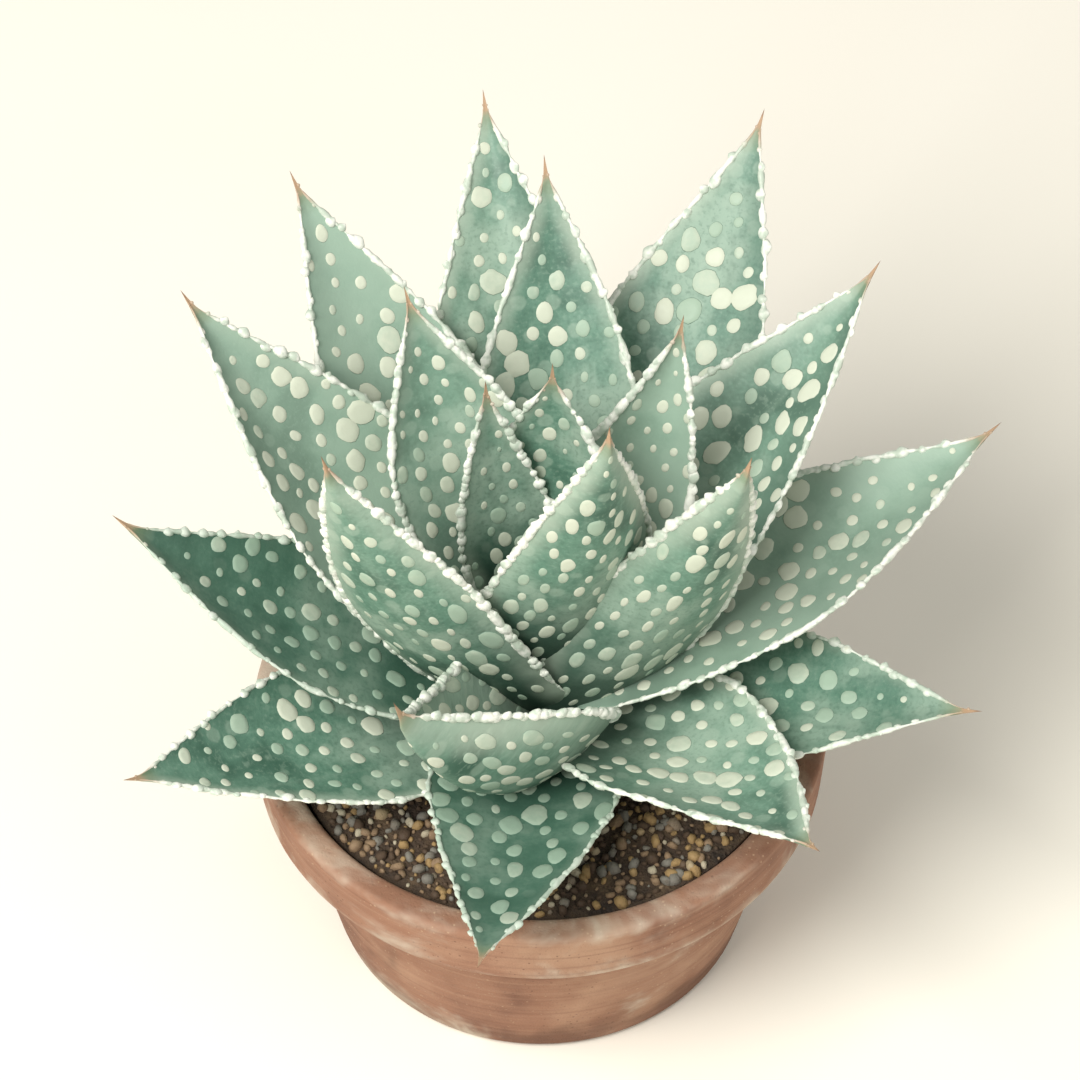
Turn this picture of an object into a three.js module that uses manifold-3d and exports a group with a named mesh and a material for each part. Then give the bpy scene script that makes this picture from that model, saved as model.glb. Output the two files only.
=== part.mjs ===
import * as THREE from 'three';
import { mergeVertices } from 'three/addons/utils/BufferGeometryUtils.js';
import Module from 'manifold-3d';

const wasm = await Module();
wasm.setup();

// A spotted aloe rosette growing in a plain clay bulb pan.
// Millimetres, +Z up. The origin is the centre of the pan's underside and the viewer stands at -Y.

// Driving dimensions

const gap = 0.3;

const potHeight = 65;
const footRadius = 46;
const footEdge = 1.5;
const wallRadiusUnderCollar = 57.5;
const collarBottom = 49;
const collarRadius = 64;
const rimRadius = 65;
const rimRounding = 1.5;
const mouthRadius = 58.5;
const floorThickness = 6;
const floorRadius = 43.5;
const potSides = 48;

const drainCount = 3;
const drainRadius = 4.5;
const drainCircle = 22;

const soilAtWall = 61.5;
const soilHalfway = 62.6;
const soilAtStem = 64.6;
const soilSides = 32;

const stemFoot = 50;
const stemBase = 66;
const stemTop = 112;
const stemBaseRadius = 10;
const stemTopRadius = 4.5;
const stemSides = 16;

const spineLength = 6;
const spineTaper = 0.12;
const heelLength = 0.22;
const ringPoints = 10;
const leafStations = [0, 0.03, 0.08, 0.16, 0.26, 0.37, 0.49, 0.61, 0.72, 0.82, 0.9, 0.95, 1];

// What a leaf has unless its own line says otherwise: base width as a share of the full width,
// depth of the channel as a share of the half width at the base and at the tip.
const plainLeaf = {
  thickness: 5, baseShare: 0.5, hollowBase: 0.12, hollowTip: 0.3, widest: 0.4, sweep: 0, roll: 0,
};

// Each leaf. at is where it grows round the stem and lean turns its heading from there, in degrees.
// height is its foot on the stem. rise is its mean slope and arch the gain in slope from foot to tip.
// sweep is the gain in heading from foot to tip, and roll turns it about its own length.
const heartLeaves = [
  { name: 'leaf_16', at: 81, lean: -1, height: 105, rise: 78, arch: 24, length: 60, width: 32, sweep: -4,
    hollowTip: 0.4 },
  { name: 'leaf_15', at: 132, lean: 3, height: 101, rise: 79, arch: 20, length: 63, width: 20, roll: -24,
    widest: 0.28 },
  { name: 'leaf_17', at: 296, lean: 15, height: 91, rise: 79, arch: 16, length: 94, width: 37, sweep: -6,
    roll: -2, hollowBase: 0.26, hollowTip: 0.45, widest: 0.3 },
  { name: 'leaf_18', at: 45, lean: 2, height: 93, rise: 60, arch: 38, length: 80, width: 27, sweep: 6,
    roll: 33, hollowBase: 0.03, hollowTip: 0.6 },
  { name: 'leaf_14', at: 127, lean: -1, height: 93, rise: 57, arch: 20, length: 82, width: 32, roll: -20,
    hollowBase: 0.08, hollowTip: 0.55, widest: 0.5 },
];
const middleLeaves = [
  { name: 'leaf_19', at: 309, lean: 39, height: 73, rise: 67, arch: 25, length: 104, width: 32,
    sweep: -9, roll: -29, hollowBase: 0.07, hollowTip: 0.5 },
  { name: 'leaf_13', at: 234, lean: -39, height: 76, rise: 66, arch: 23, length: 108, width: 29,
    sweep: -30, roll: 25, hollowBase: 0.02, widest: 0.48 },
  { name: 'leaf_20', at: 281, lean: -57, height: 69, rise: 47, arch: 56, length: 85, width: 40,
    sweep: -78, roll: -24, thickness: 8, hollowBase: 1.05, hollowTip: 1.05, baseShare: 0.32,
    widest: 0.41 },
];
const outerLeaves = [
  { name: 'leaf_09', at: 86, lean: 4, height: 87, rise: 46, arch: 13, length: 105, width: 34, sweep: 17,
    roll: 6, hollowBase: 0.2, widest: 0.47 },
  { name: 'leaf_08', at: 62, lean: 1, height: 85, rise: 35, arch: 22, length: 127, width: 43, sweep: 5,
    roll: 3, hollowBase: 0.06, hollowTip: 0.2, widest: 0.44 },
  { name: 'leaf_11', at: 125, lean: 1, height: 81, rise: 42, arch: 17, length: 118, width: 39, sweep: 3,
    widest: 0.45 },
  { name: 'leaf_10', at: 98, lean: -1, height: 79, rise: 39, arch: 3, length: 125, width: 34, sweep: 6,
    roll: -9, hollowTip: 0.4, widest: 0.5 },
  { name: 'leaf_07', at: 36, lean: 0, height: 83, rise: 40, arch: 19, length: 112, width: 43, sweep: 2,
    roll: 2, hollowBase: 0.24, widest: 0.36 },
  { name: 'leaf_12', at: 151, lean: 1, height: 78, rise: 45, arch: 15, length: 115, width: 38, sweep: -8,
    roll: -7, hollowTip: 0.45, widest: 0.48 },
  { name: 'leaf_06', at: 17, lean: 4, height: 77, rise: 22, arch: 5, length: 111, width: 41, sweep: 26,
    hollowBase: 0.25, hollowTip: 0.4, widest: 0.49 },
  { name: 'leaf_01', at: 173, lean: 3, height: 75, rise: 30, arch: 24, length: 100, width: 37,
    sweep: -16, roll: -3, widest: 0.47 },
  { name: 'leaf_04', at: 312, lean: -1, height: 73, rise: 19, arch: 18, length: 88, width: 44,
    sweep: -23, roll: -6, hollowBase: 0.3, widest: 0.37 },
  { name: 'leaf_05', at: 350, lean: -5, height: 71, rise: 15, arch: 12, length: 95, width: 44, sweep: -8,
    roll: 3, widest: 0.32 },
  { name: 'leaf_03', at: 262, lean: 0, height: 71, rise: 16, arch: 16, length: 91, width: 39, sweep: -6,
    widest: 0.31 },
  { name: 'leaf_02', at: 206, lean: 3, height: 71, rise: 18, arch: 28, length: 100, width: 38, sweep: 18,
    roll: -9, hollowBase: 0.2 },
];
const backLeaves = [
  { name: 'leaf_21', at: 36, lean: 0, height: 72, rise: 8, arch: 14, length: 84, width: 34 },
  { name: 'leaf_22', at: 69, lean: 0, height: 73, rise: 28, arch: 16, length: 84, width: 36,
    widest: 0.47 },
  { name: 'leaf_23', at: 105, lean: 0, height: 72, rise: 15, arch: 14, length: 84, width: 36 },
  { name: 'leaf_24', at: 133, lean: 0, height: 71, rise: 9, arch: 16, length: 84, width: 34 },
];

// Solids and meshes

const toSolid = (geometry) => {
  const bare = geometry.clone();
  bare.deleteAttribute('normal');
  bare.deleteAttribute('uv');
  const merged = mergeVertices(bare, 1e-4);
  const corners = merged.index.array;
  const kept = [];
  for (let i = 0; i < corners.length; i += 3) {
    const [a, b, c] = corners.slice(i, i + 3);
    if (a !== b && b !== c && c !== a) kept.push(a, b, c);
  }
  return new wasm.Manifold(new wasm.Mesh({
    numProp: 3,
    vertProperties: Float32Array.from(merged.attributes.position.array),
    triVerts: Uint32Array.from(kept),
  }));
};

const signedVolume = (points, triangles) => {
  const a = new THREE.Vector3();
  const b = new THREE.Vector3();
  const c = new THREE.Vector3();
  let sum = 0;
  for (const [i, j, k] of triangles) {
    a.fromArray(points, 3 * i);
    b.fromArray(points, 3 * j);
    c.fromArray(points, 3 * k);
    sum += a.dot(b.cross(c)) / 6;
  }
  return sum;
};

// The largest body of a solid, for a leaf whose edge was trimmed into loose slivers by its neighbours.
const toGeometry = (solid) => {
  const mesh = solid.getMesh();
  const points = mesh.vertProperties;
  const parent = Array.from({ length: points.length / 3 }, (_, i) => i);
  const root = (i) => {
    let at = i;
    while (parent[at] !== at) {
      parent[at] = parent[parent[at]];
      at = parent[at];
    }
    return at;
  };
  const triangles = [];
  for (let i = 0; i < mesh.triVerts.length; i += 3) {
    const corner = Array.from(mesh.triVerts.slice(i, i + 3));
    triangles.push(corner);
    parent[root(corner[1])] = root(corner[0]);
    parent[root(corner[2])] = root(corner[0]);
  }
  const bodies = new Map();
  for (const corner of triangles) {
    const key = root(corner[0]);
    if (!bodies.has(key)) bodies.set(key, []);
    bodies.get(key).push(corner);
  }
  const largest = [...bodies.values()].reduce((best, body) => (
    signedVolume(points, body) > signedVolume(points, best) ? body : best));
  const geometry = new THREE.BufferGeometry();
  geometry.setAttribute('position', new THREE.BufferAttribute(Float32Array.from(points), 3));
  geometry.setIndex(largest.flat());
  const used = geometry.toNonIndexed();
  used.computeVertexNormals();
  return used;
};

const turned = (profile, sides) => {
  const points = profile.map(([radius, height]) => new THREE.Vector2(radius, height));
  return new THREE.LatheGeometry(points, sides).rotateX(Math.PI / 2);
};

const rod = (radius, from, to, x, y) => (
  new THREE.CylinderGeometry(radius, radius, to - from, stemSides)
    .rotateX(Math.PI / 2)
    .translate(x, y, (from + to) / 2));

// Pot, soil and stem

const innerRadius = (height) => THREE.MathUtils.mapLinear(height, floorThickness, potHeight, floorRadius, mouthRadius);

const makePot = () => {
  let pot = toSolid(turned([
    [0, 0],
    [footRadius, 0],
    [footRadius + footEdge, footEdge],
    [wallRadiusUnderCollar, collarBottom],
    [collarRadius - rimRounding, collarBottom],
    [collarRadius, collarBottom + rimRounding],
    [rimRadius, potHeight - rimRounding],
    [rimRadius - rimRounding, potHeight],
    [mouthRadius + rimRounding, potHeight],
    [mouthRadius, potHeight - rimRounding],
    [floorRadius, floorThickness],
    [0, floorThickness],
  ], potSides));
  for (let i = 0; i < drainCount; i += 1) {
    const angle = (2 * Math.PI * (i + 0.25)) / drainCount;
    const hole = rod(drainRadius, -5, floorThickness + 5,
      drainCircle * Math.cos(angle), drainCircle * Math.sin(angle));
    pot = pot.subtract(toSolid(hole));
  }
  return pot;
};

const stemRadius = (height) => {
  const share = THREE.MathUtils.clamp((height - stemBase) / (stemTop - stemBase), 0, 1);
  return THREE.MathUtils.lerp(stemBaseRadius, stemTopRadius, share);
};

const makeStem = (grow) => toSolid(turned([
  [0, stemFoot - grow],
  [stemBaseRadius - 3 + grow, stemFoot - grow],
  [stemBaseRadius + grow, stemFoot + 3],
  [stemBaseRadius + grow, stemBase],
  [stemTopRadius + grow, stemTop],
  [0, stemTop + 2 + grow],
], stemSides));

const makeSoil = () => toSolid(turned([
  [0, floorThickness + gap],
  [floorRadius - 2 * gap, floorThickness + gap],
  [innerRadius(soilAtWall) - 2 * gap, soilAtWall],
  [(mouthRadius + stemBaseRadius) / 2, soilHalfway],
  [stemBaseRadius, soilAtStem],
  [0, soilAtStem],
], soilSides)).subtract(makeStem(gap));

// Leaves

// Half width along the leaf as a share of its full half width: from the foot out to the widest
// place, then in to the point.
const outline = (share, leaf) => {
  if (share < leaf.widest) {
    return leaf.baseShare + (1 - leaf.baseShare) * Math.sin((Math.PI / 2) * (share / leaf.widest));
  }
  const past = (share - leaf.widest) / (1 - leaf.widest);
  return Math.max(1 - past ** 1.5, 0) ** 1.1;
};

// A closed outline moved outward by a distance, each corner along the middle of its two edges.
const widened = (section, distance) => {
  const outward = (from, to) => new THREE.Vector2(to.y - from.y, from.x - to.x).normalize();
  return section.map((point, k) => {
    const before = outward(section.at(k - 1), point);
    const after = outward(point, section[(k + 1) % section.length]);
    const middle = before.clone().add(after).normalize();
    return point.clone().addScaledVector(middle, distance / Math.max(middle.dot(before), 0.35));
  });
};

const makeLeaf = (own, grow) => {
  const leaf = { ...plainLeaf, ...own };
  const radians = THREE.MathUtils.degToRad;
  const foot = new THREE.Vector3(Math.cos(radians(leaf.at)), Math.sin(radians(leaf.at)), 0);
  const heading = (share) => radians(leaf.at + leaf.lean + leaf.sweep * (share - 0.5));
  const slope = (share) => radians(leaf.rise + leaf.arch * (share - 0.5));
  const along = (share) => new THREE.Vector3(
    Math.cos(slope(share)) * Math.cos(heading(share)),
    Math.cos(slope(share)) * Math.sin(heading(share)),
    Math.sin(slope(share)),
  );
  const centre = foot.clone().multiplyScalar(stemRadius(leaf.height) - 1).setZ(leaf.height);
  const points = [];
  let before = 0;
  for (const share of leafStations) {
    centre.addScaledVector(along((share + before) / 2), leaf.length * (share - before));
    before = share;
    if (share === 1) {
      points.push(...centre.toArray());
      break;
    }
    const forward = along(share);
    const up = foot.clone().multiplyScalar(-Math.sin(slope(share))).setZ(Math.cos(slope(share)));
    up.addScaledVector(forward, -up.dot(forward)).normalize();
    const side = up.clone().cross(forward);
    side.applyAxisAngle(forward, radians(leaf.roll));
    up.applyAxisAngle(forward, radians(leaf.roll));

    const run = leaf.length * share;
    const left = leaf.length - run;
    const heel = Math.min((run + 1) / (heelLength * leaf.width + 1), 1);
    const rounding = Math.sqrt(1 - (1 - heel) ** 2);
    const blade = (leaf.width / 2) * outline(Math.min(run / (leaf.length - 0.8 * spineLength), 1), leaf);
    const halfWidth = Math.hypot(blade * rounding, spineTaper * left);
    const full = leaf.thickness * (1 - 0.75 * share) * (0.5 + 0.5 * rounding);
    const thickness = Math.min(full, 1.8 * halfWidth);
    const hollow = THREE.MathUtils.lerp(leaf.hollowBase, leaf.hollowTip, share);
    const section = [];
    for (let k = 0; k < ringPoints; k += 1) {
      const angle = (2 * Math.PI * k) / ringPoints;
      const across = k === 0 ? 1 : Math.cos(angle);
      const over = k === 0 || k === ringPoints / 2 ? 0 : Math.sin(angle);
      const skin = over > 0 ? 0.2 * thickness * over : -0.8 * thickness * Math.abs(over) ** 1.3;
      section.push(new THREE.Vector2(
        (halfWidth * across) / Math.sqrt(1 + 0.5 * hollow * hollow),
        hollow * halfWidth * Math.abs(across) ** 1.7 + skin,
      ));
    }
    for (const { x, y } of widened(section, grow)) {
      points.push(...centre.clone().addScaledVector(side, x).addScaledVector(up, y).toArray());
    }
  }

  const corners = [];
  const quad = (a, b, c, d) => corners.push(a, b, c, a, c, d);
  const half = ringPoints / 2;
  corners.push(0, ringPoints - 1, 1);
  for (let k = 1; k < half - 1; k += 1) quad(k, ringPoints - k, ringPoints - k - 1, k + 1);
  corners.push(half - 1, half + 1, half);
  const rings = leafStations.length - 1;
  for (let i = 0; i < rings - 1; i += 1) {
    for (let k = 0; k < ringPoints; k += 1) {
      const next = (k + 1) % ringPoints;
      const ring = i * ringPoints;
      quad(ring + k, ring + next, ring + ringPoints + next, ring + ringPoints + k);
    }
  }
  const last = (rings - 1) * ringPoints;
  const tip = rings * ringPoints;
  for (let k = 0; k < ringPoints; k += 1) corners.push(last + k, last + ((k + 1) % ringPoints), tip);
  const geometry = new THREE.BufferGeometry();
  geometry.setAttribute('position', new THREE.Float32BufferAttribute(points, 3));
  geometry.setIndex(corners);
  return toSolid(geometry);
};

// Scene

const clay = { color: 0xb5683f, roughness: 0.9, metalness: 0 };
const earth = { color: 0x4a3a2c, roughness: 1, metalness: 0 };
const corky = { color: 0x7a8468, roughness: 0.8, metalness: 0 };
const leafGreen = { color: 0x5e9080, roughness: 0.5, metalness: 0 };

const plant = new THREE.Group();
const place = (name, solid, look) => {
  const mesh = new THREE.Mesh(toGeometry(solid), new THREE.MeshStandardMaterial(look));
  mesh.name = name;
  plant.add(mesh);
};

place('pot', makePot(), clay);
place('soil', makeSoil(), earth);
place('stem', makeStem(0), corky);

// The heart is whole. Each leaf after it is trimmed where it clasps the stem and the leaves above.
const clearance = [makeStem(gap)];
for (const leaf of [...heartLeaves, ...middleLeaves, ...outerLeaves, ...backLeaves]) {
  let solid = makeLeaf(leaf, 0);
  for (const taken of clearance) solid = solid.subtract(taken);
  place(leaf.name, solid, leafGreen);
  clearance.push(makeLeaf(leaf, gap));
}

export default plant;
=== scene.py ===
import math
import re

import bpy
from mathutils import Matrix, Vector


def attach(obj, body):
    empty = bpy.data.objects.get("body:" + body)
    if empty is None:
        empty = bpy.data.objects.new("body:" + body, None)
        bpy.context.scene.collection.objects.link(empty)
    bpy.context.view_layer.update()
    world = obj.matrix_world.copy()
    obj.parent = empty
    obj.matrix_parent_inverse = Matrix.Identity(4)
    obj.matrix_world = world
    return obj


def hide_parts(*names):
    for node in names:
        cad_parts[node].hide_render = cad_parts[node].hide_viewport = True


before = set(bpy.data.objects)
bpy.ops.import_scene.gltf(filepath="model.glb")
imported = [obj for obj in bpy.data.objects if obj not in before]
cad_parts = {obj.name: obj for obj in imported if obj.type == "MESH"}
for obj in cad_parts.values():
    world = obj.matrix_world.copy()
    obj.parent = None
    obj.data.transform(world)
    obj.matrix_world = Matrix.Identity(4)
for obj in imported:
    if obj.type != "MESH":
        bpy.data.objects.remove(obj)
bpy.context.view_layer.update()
mm = 0.001
print("frame loaded:", len(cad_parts), "nodes")


# one value in a node tree; sums on it lay down Math and Vector Math nodes
class Field:
    def __init__(self, tree, socket):
        self.tree = tree
        self.socket = socket

    def __add__(self, other):
        return maths(self.tree, "ADD", self, other)

    def __sub__(self, other):
        return maths(self.tree, "SUBTRACT", self, other)

    def __rsub__(self, other):
        return maths(self.tree, "SUBTRACT", other, self)

    def __mul__(self, other):
        if isVector(self) != isVector(other):
            return scaled(self, other) if isVector(self) else scaled(other, self)
        return maths(self.tree, "MULTIPLY", self, other)

    def __truediv__(self, other):
        return maths(self.tree, "DIVIDE", self, other)

    def __rtruediv__(self, other):
        return maths(self.tree, "DIVIDE", other, self)

    def __pow__(self, other):
        return maths(self.tree, "POWER", self, other)

    __radd__ = __add__
    __rmul__ = __mul__


def isVector(value):
    if isinstance(value, Field):
        return value.socket.type == "VECTOR"
    return isinstance(value, tuple)


def feed(tree, socket, value):
    if isinstance(value, Field):
        tree.links.new(value.socket, socket)
    elif value is not None:
        socket.default_value = value


def maths(tree, operation, *values):
    vector = any(isVector(value) for value in values)
    made = tree.nodes.new("ShaderNodeVectorMath" if vector else "ShaderNodeMath")
    made.operation = operation
    for socket, value in zip(made.inputs, values):
        feed(tree, socket, value)
    number = vector and operation in ("DOT_PRODUCT", "LENGTH", "DISTANCE")
    return Field(tree, made.outputs[1 if number else 0])


def scaled(vector, factor):
    made = vector.tree.nodes.new("ShaderNodeVectorMath")
    made.operation = "SCALE"
    feed(vector.tree, made.inputs[0], vector)
    feed(vector.tree, made.inputs["Scale"], factor)
    return Field(vector.tree, made.outputs[0])


def joined(tree, x, y, z):
    made = tree.nodes.new("ShaderNodeCombineXYZ")
    for socket, value in zip(made.inputs, (x, y, z)):
        feed(tree, socket, value)
    return Field(tree, made.outputs[0])


def split(vector):
    made = vector.tree.nodes.new("ShaderNodeSeparateXYZ")
    feed(vector.tree, made.inputs[0], vector)
    return [Field(vector.tree, socket) for socket in made.outputs]


def unary(operation):
    return lambda value: maths(value.tree, operation, value)


sine, cosine, radians = unary("SINE"), unary("COSINE"), unary("RADIANS")
root, whole, size = unary("SQRT"), unary("FLOOR"), unary("ABSOLUTE")
unit = unary("NORMALIZE")


def blend(start, end, share):
    return start + (end - start) * share


def step(tree, kind, inputs=(), output=0, **settings):  # any node; gives one of its outputs
    made = tree.nodes.new(kind)
    for label, value in settings.items():
        setattr(made, label, value)
    for label, value in dict(inputs).items():
        feed(tree, made.inputs[label], value)
    return Field(tree, made.outputs[output])


def ease(value, low, high, bottom=0.0, top=1.0):  # smooth step from bottom to top
    return step(value.tree, "ShaderNodeMapRange", {
        "Value": value, "From Min": low, "From Max": high, "To Min": bottom, "To Max": top},
        interpolation_type="SMOOTHSTEP")


def noise(place, scale, detail=2.0, roughness=0.5, distortion=0.0):  # centred on 0.5
    return step(place.tree, "ShaderNodeTexNoise", {
        "Vector": place, "Scale": scale, "Detail": detail, "Roughness": roughness,
        "Distortion": distortion})


def newTree(kind, name, inputs, outputs):
    tree = bpy.data.node_groups.new(name, kind)
    for label, default in inputs.items():
        wanted = socketKind(default)
        socket = tree.interface.new_socket(label, in_out="INPUT", socket_type=wanted)
        if default is not None and wanted != "NodeSocketMaterial":
            socket.default_value = default
    for label, kindOfSocket in outputs.items():
        tree.interface.new_socket(label, in_out="OUTPUT", socket_type=kindOfSocket)
    entry = tree.nodes.new("NodeGroupInput")
    fields = {label: Field(tree, entry.outputs[label]) for label in inputs}
    return tree, fields, tree.nodes.new("NodeGroupOutput")


def socketKind(default):
    if default is None:
        return "NodeSocketGeometry"
    if isinstance(default, bpy.types.Material):
        return "NodeSocketMaterial"
    if isinstance(default, int):
        return "NodeSocketInt"
    if isinstance(default, tuple):
        return "NodeSocketColor" if len(default) == 4 else "NodeSocketVector"
    return "NodeSocketFloat"


def useGroup(tree, group, kind, inputs):  # a group placed in a tree; gives its outputs by name
    made = tree.nodes.new(kind)
    made.node_tree = group
    for label, value in inputs.items():
        feed(tree, made.inputs[label], value)
    return {socket.name: Field(tree, socket) for socket in made.outputs}


def runTree(tree, name, values, start=None):  # the tree's result as a plain mesh at the origin
    holder = bpy.data.objects.new(name, start or bpy.data.meshes.new(name + "Start"))
    bpy.context.scene.collection.objects.link(holder)
    modifier = holder.modifiers.new("shape", "NODES")
    modifier.node_group = tree
    for item in tree.interface.items_tree:
        if item.item_type == "SOCKET" and item.in_out == "INPUT" and item.name in values:
            modifier[item.identifier] = values[item.name]
    graph = bpy.context.evaluated_depsgraph_get()
    mesh = bpy.data.meshes.new_from_object(
        holder.evaluated_get(graph), preserve_all_data_layers=True, depsgraph=graph)
    holder.modifiers.clear()
    holder.data = mesh
    mesh.name = name
    return holder


def store(tree, geometry, name, value):  # an attribute kept on the mesh's points
    kind = "FLOAT_VECTOR" if isVector(value) else "FLOAT"
    return step(tree, "GeometryNodeStoreNamedAttribute",
                {"Geometry": geometry, "Name": name, "Value": value}, data_type=kind)


def stored(tree, name, vector=False):
    kind = "FLOAT_VECTOR" if vector else "FLOAT"
    return step(tree, "GeometryNodeInputNamedAttribute", {"Name": name}, data_type=kind)


def chance(tree, low, high, seed):  # a random number for each point
    return step(tree, "FunctionNodeRandomValue", {2: low, 3: high, 8: seed}, output=1)


def move(tree, geometry, position=None, offset=None):
    return step(tree, "GeometryNodeSetPosition",
                {"Geometry": geometry, "Position": position, "Offset": offset})


def coated(tree, geometry, material):
    return step(tree, "GeometryNodeSetMaterial", {"Geometry": geometry, "Material": material})


def finished(tree, end, geometry, material=None):  # smooth, coated, real mesh to the output
    made = step(tree, "GeometryNodeSetShadeSmooth", {"Geometry": geometry})
    if material is not None:
        made = coated(tree, made, material)
    made = step(tree, "GeometryNodeRealizeInstances", {"Geometry": made})
    feed(tree, end.inputs["Geometry"], made)
    return tree


def joinAll(tree, parts):
    made = tree.nodes.new("GeometryNodeJoinGeometry")
    for part in parts:
        tree.links.new(part.socket, made.inputs[0])
    return Field(tree, made.outputs[0])


def newMaterial(name, **values):
    material = bpy.data.materials.new(name)
    material.use_nodes = True
    tree = material.node_tree
    shader = tree.nodes["Principled BSDF"]
    for label, value in values.items():
        shader.inputs[label].default_value = value
    return material, tree, shader


def meshValue(tree, name, vector=False):  # an attribute of the mesh, read in a material
    return step(tree, "ShaderNodeAttribute", output="Vector" if vector else "Fac",
                attribute_name=name)


def objectPlace(tree):
    return step(tree, "ShaderNodeTexCoord", output="Object")


def mixColour(tree, share, under, over):
    return step(tree, "ShaderNodeMix", {0: share, 6: under, 7: over}, output=2,
                data_type="RGBA")


def layered(tree, colour, *layers):  # each layer is its share and its colour
    for share, tone in layers:
        colour = mixColour(tree, share, colour, tone)
    return colour


def bump(tree, shader, height, distance, strength):
    normal = step(tree, "ShaderNodeBump",
                  {"Height": height, "Distance": distance, "Strength": strength})
    feed(tree, shader.inputs["Normal"], normal)


def hexColour(code):
    channels = [int(code[i:i + 2], 16) / 255 for i in (0, 2, 4)]
    linear = [c / 12.92 if c <= 0.04045 else ((c + 0.055) / 1.055) ** 2.4 for c in channels]
    return (*linear, 1.0)


def palette(**codes):
    return {name: hexColour(code) for name, code in codes.items()}


def scatterOn(tree, mesh, gap, packing, where, seed):  # points at least a gap apart
    made = tree.nodes.new("GeometryNodeDistributePointsOnFaces")
    made.distribute_method = "POISSON"
    for label, value in (("Mesh", mesh), ("Distance Min", gap),
                         ("Density Max", packing / (gap * gap)),
                         ("Density Factor", where), ("Seed", seed)):
        feed(tree, made.inputs[label], value)
    return Field(tree, made.outputs["Points"]), Field(tree, made.outputs["Normal"])


def buildCloudGroup():  # soft washes of three tones, as pigment settles
    tree, field, end = newTree("ShaderNodeTree", "cloudWash", {
        "Place": (0.0, 0.0, 0.0), "Scale": 40.0, "Spread": 0.18, "Lean": 0.5,
        "Dark": hexColour("244F42"), "Middle": hexColour("5E9080"),
        "Light": hexColour("A9CFC0")}, {"Colour": "NodeSocketColor", "Mask": "NodeSocketFloat"})
    cloud = noise(field["Place"], field["Scale"], 2.0, 0.5, 0.25)
    patch = noise(field["Place"] + (3.1, 7.7, 1.9), field["Scale"] * 2.9, 2.0, 0.6)
    mask = cloud * 0.66 + patch * 0.34
    lower = ease(mask, field["Lean"] - field["Spread"], field["Lean"])
    upper = ease(mask, field["Lean"], field["Lean"] + field["Spread"])
    colour = mixColour(tree, lower, field["Dark"], field["Middle"])
    colour = mixColour(tree, upper, colour, field["Light"])
    feed(tree, end.inputs["Colour"], colour)
    feed(tree, end.inputs["Mask"], mask)
    return tree


def buildGrainGroup():  # fine grain with open pores, as a height and a mask
    tree, field, end = newTree("ShaderNodeTree", "poreGrain", {
        "Place": (0.0, 0.0, 0.0), "Grain Scale": 900.0, "Pore Scale": 500.0,
        "Pore Share": 0.3}, {"Height": "NodeSocketFloat", "Pores": "NodeSocketFloat"})
    grain = noise(field["Place"], field["Grain Scale"], 2.0, 0.6)
    cells = step(tree, "ShaderNodeTexVoronoi",
                 {"Vector": field["Place"], "Scale": field["Pore Scale"]})
    pores = ease(cells, 0.08, 0.34, 1.0, 0.0) * field["Pore Share"]
    feed(tree, end.inputs["Height"], grain - pores)
    feed(tree, end.inputs["Pores"], pores)
    return tree


cloudWash = buildCloudGroup()
poreGrain = buildGrainGroup()


def wash(tree, place, **values):
    inputs = {"Place": place}
    inputs.update({label.capitalize(): value for label, value in values.items()})
    return useGroup(tree, cloudWash, "ShaderNodeGroup", inputs)


def grain(tree, place, grainScale, poreScale, poreShare):
    return useGroup(tree, poreGrain, "ShaderNodeGroup", {
        "Place": place, "Grain Scale": grainScale, "Pore Scale": poreScale,
        "Pore Share": poreShare})


# the deep tone is partly a darker green at the leaf base and partly painted shade deep in the
# rosette
# the edge tone is a painted highlight on the lit margins
leafTones = palette(
    deep="1E382C", shade="385B4B", body="648A77", pale="93AC9A", edge="B3C2B0",
    ghostSpot="9DB3A1", tipTan="AE9073", tipBrown="76533B", olive="74805F",
    spotCream="CAD0BD", spotMint="A0B6A2", spotRing="4A6F5F", rimWhite="ECEEE4",
    rimGrey="BCC9B9", rimOchre="C2B58C")


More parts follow.
